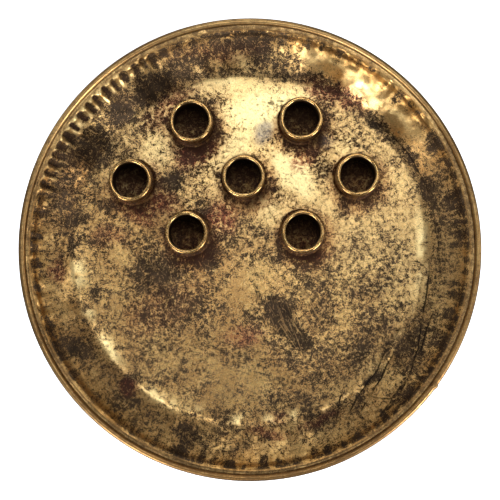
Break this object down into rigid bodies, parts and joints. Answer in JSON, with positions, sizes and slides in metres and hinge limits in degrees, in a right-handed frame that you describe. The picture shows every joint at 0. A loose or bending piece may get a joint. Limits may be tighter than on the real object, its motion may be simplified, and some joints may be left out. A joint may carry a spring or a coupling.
{
  "type": "flower frog",
  "caption": "Shallow round hammered-metal dish with a rolled rim and short open tubes brazed upright to its floor, which hold flower stems in shallow water.",
  "frame": {"origin": "on the table under the dish's centre, at the undersides of its pads", "axes": "+Z up out of the tubes, +Y from the dish's centre towards the cluster of tubes, +X to the right seen from above with +Y up"},
  "size_m": [0.305, 0.305, 0.0305],
  "materials": {
    "gilded_sheet": "antiqued gold leaf over hammered sheet iron, with a black and brown patina",
    "gilded_tube": "antiqued gold leaf over thick iron tube, worn bright on the lips",
    "braze": "heat-stained braze under a red-brown patina",
    "rim_wire": "plain drawn iron wire",
    "pad": "matte"
  },
  "bodies": {
    "root": {"dish_pan": "gilded_sheet", "rim_wire": "rim_wire", "stem_tube_1": "gilded_tube", "stem_tube_2": "gilded_tube", "stem_tube_3": "gilded_tube", "stem_tube_4": "gilded_tube", "stem_tube_5": "gilded_tube", "stem_tube_6": "gilded_tube", "stem_tube_7": "gilded_tube", "braze_fillet_1": "braze", "braze_fillet_2": "braze", "braze_fillet_3": "braze", "braze_fillet_4": "braze", "braze_fillet_5": "braze", "braze_fillet_6": "braze", "braze_fillet_7": "braze", "floor_pad_1": "pad", "floor_pad_2": "pad", "floor_pad_3": "pad", "floor_pad_4": "pad"}
  },
  "joints": []
}
